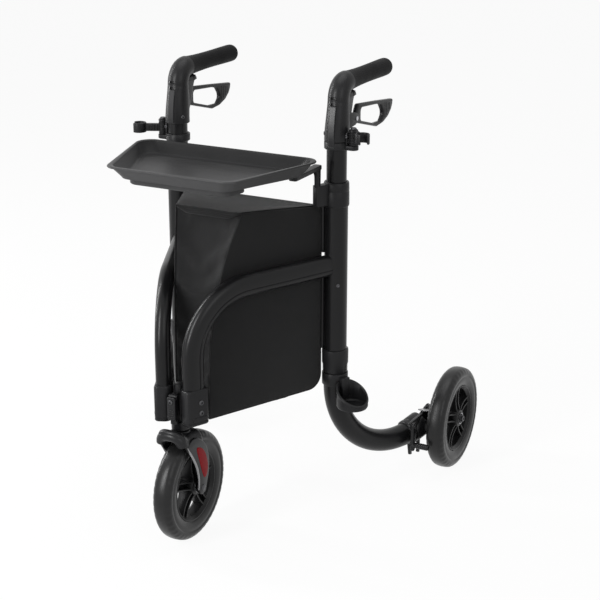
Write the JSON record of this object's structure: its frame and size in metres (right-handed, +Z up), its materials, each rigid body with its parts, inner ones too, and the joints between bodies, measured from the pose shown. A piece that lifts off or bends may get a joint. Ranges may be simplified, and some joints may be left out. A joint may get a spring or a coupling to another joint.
{
  "type": "three wheel rollator",
  "caption": "Folding walking frame on wheels with a swivel front wheel, height-adjustable handles, loop brake levers, a fabric bag, a lift-off tray and a cane cup.",
  "frame": {"origin": "on the floor under the middle of the object's box", "axes": "+Z up, -Y towards the front wheel, +X towards the user's left"},
  "size_m": [0.6586, 0.692, 0.806],
  "materials": {
    "frame_paint": "satin black powder coat",
    "cast_black": "black moulded nylon",
    "plastic_black": "fine textured black plastic",
    "housing_plastic": "satin dark grey plastic",
    "lever_plastic": "ribbed black plastic",
    "tray_plastic": "fine textured dark grey plastic",
    "grip_rubber": "soft matte rubber",
    "tyre_grey": "dark grey solid tyre",
    "hub_black": "black moulded hub",
    "bag_fabric": "black woven nylon",
    "red_insert": "dark red elastomer",
    "steel": "bright zinc",
    "screw_black": "black zinc",
    "bush": "natural acetal"
  },
  "bodies": {
    "head": {"head_block": "cast_black", "hinge_pins": "steel", "stem_bushes": "bush", "bag": "bag_fabric", "bag_lid": "bag_fabric"},
    "latch": {"fold_latch": "cast_black"},
    "caster": {"fork": "cast_black", "caster_stem": "steel", "fork_inserts": "red_insert", "front_axle": "steel"},
    "front_wheel": {"front_hub": "hub_black", "front_tyre": "tyre_grey", "front_bearings": "steel"},
    "left_frame": {"left_clamp": "plastic_black", "left_clamp_screws": "screw_black", "left_front_tube": "frame_paint", "left_column": "frame_paint", "left_upper_collar": "plastic_black", "left_lower_collar": "plastic_black", "left_rear_tube": "frame_paint", "left_axle_bracket": "cast_black", "left_rear_axle": "steel", "left_tray_bracket": "plastic_black", "cane_cup": "plastic_black"},
    "left_wheel": {"left_rear_hub": "hub_black", "left_rear_tyre": "tyre_grey", "left_rear_bearings": "steel"},
    "left_brake": {"left_brake_shoe": "cast_black"},
    "left_handle": {"left_handle_tube": "frame_paint", "left_housing": "housing_plastic", "left_grip": "grip_rubber", "left_clip_mount": "plastic_black", "left_lever_pin": "steel"},
    "left_lever": {"left_brake_lever": "lever_plastic"},
    "left_clip": {"left_cane_clip": "plastic_black"},
    "right_frame": {"right_clamp": "plastic_black", "right_clamp_screws": "screw_black", "right_front_tube": "frame_paint", "right_column": "frame_paint", "right_upper_collar": "plastic_black", "right_lower_collar": "plastic_black", "right_rear_tube": "frame_paint", "right_axle_bracket": "cast_black", "right_rear_axle": "steel", "right_tray_bracket": "plastic_black"},
    "right_wheel": {"right_rear_hub": "hub_black", "right_rear_tyre": "tyre_grey", "right_rear_bearings": "steel"},
    "right_brake": {"right_brake_shoe": "cast_black"},
    "right_handle": {"right_handle_tube": "frame_paint", "right_housing": "housing_plastic", "right_grip": "grip_rubber", "right_clip_mount": "plastic_black", "right_lever_pin": "steel"},
    "right_lever": {"right_brake_lever": "lever_plastic"},
    "right_clip": {"right_cane_clip": "plastic_black"},
    "tray": {"tray": "tray_plastic"}
  },
  "joints": [
    {"name": "caster_swivel", "type": "hinge", "parent": "head", "child": "caster", "pos_m": [0, -0.269, 0.217], "axis": [0, 0, 1], "continuous": true},
    {"name": "front_wheel_spin", "type": "hinge", "parent": "caster", "child": "front_wheel", "pos_m": [0, -0.246, 0.1], "axis": [1, 0, 0], "continuous": true},
    {"name": "latch_pull", "type": "hinge", "parent": "head", "child": "latch", "pos_m": [0, -0.288, 0.284], "axis": [-1, 0, 0], "range_deg": [0, 35], "stiffness_Nm_per_rad": 0.4, "springref_deg": -5.73},
    {"name": "tray_lift", "type": "slide", "parent": "head", "child": "tray", "axis": [0, 0, 1], "range_m": [0, 0.06]},
    {"name": "left_fold", "type": "hinge", "parent": "head", "child": "left_frame", "pos_m": [0.0122, -0.25469, 0.26], "axis": [0, 0, 1], "range_deg": [0, 17], "deforming": ["bag", "bag_lid"]},
    {"name": "left_wheel_spin", "type": "hinge", "parent": "left_frame", "child": "left_wheel", "pos_m": [0.305, 0.246, 0.1], "axis": [1, 0, 0], "continuous": true},
    {"name": "left_height", "type": "slide", "parent": "left_frame", "child": "left_handle", "axis": [0, 0, 1], "range_m": [0, 0.1]},
    {"name": "left_brake_pull", "type": "hinge", "parent": "left_handle", "child": "left_lever", "pos_m": [0.17297, 0.04803, 0.722], "axis": [1, 0, 0], "range_deg": [0, 11], "stiffness_Nm_per_rad": 2, "springref_deg": -5.73},
    {"name": "left_brake_press", "type": "hinge", "parent": "left_frame", "child": "left_brake", "pos_m": [0.2664, 0.14321, 0.11187], "axis": [1, 0, 0], "range_deg": [0, 1.65]},
    {"name": "left_clip_swing", "type": "hinge", "parent": "left_handle", "child": "left_clip", "pos_m": [0.19497, 0.00803, 0.69], "axis": [0, 0, 1], "range_deg": [-40, 105]},
    {"name": "right_fold", "type": "hinge", "parent": "head", "child": "right_frame", "pos_m": [-0.0122, -0.25469, 0.26], "axis": [0, 0, 1], "range_deg": [-17, 0], "deforming": ["bag", "bag_lid"]},
    {"name": "right_wheel_spin", "type": "hinge", "parent": "right_frame", "child": "right_wheel", "pos_m": [-0.305, 0.246, 0.1], "axis": [1, 0, 0], "continuous": true},
    {"name": "right_height", "type": "slide", "parent": "right_frame", "child": "right_handle", "axis": [0, 0, 1], "range_m": [0, 0.1]},
    {"name": "right_brake_pull", "type": "hinge", "parent": "right_handle", "child": "right_lever", "pos_m": [-0.17297, 0.04803, 0.722], "axis": [1, 0, 0], "range_deg": [0, 11], "stiffness_Nm_per_rad": 2, "springref_deg": -5.73},
    {"name": "right_brake_press", "type": "hinge", "parent": "right_frame", "child": "right_brake", "pos_m": [-0.2664, 0.14321, 0.11187], "axis": [1, 0, 0], "range_deg": [0, 1.65]},
    {"name": "right_clip_swing", "type": "hinge", "parent": "right_handle", "child": "right_clip", "pos_m": [-0.19497, 0.00803, 0.69], "axis": [0, 0, 1], "range_deg": [-60, 60]}
  ],
  "couplings": [
    {"joint": "left_brake_press", "follows": "left_brake_pull", "ratio": 0.15},
    {"joint": "right_brake_press", "follows": "right_brake_pull", "ratio": 0.15},
    {"joint": "right_fold", "follows": "left_fold", "ratio": -1}
  ]
}
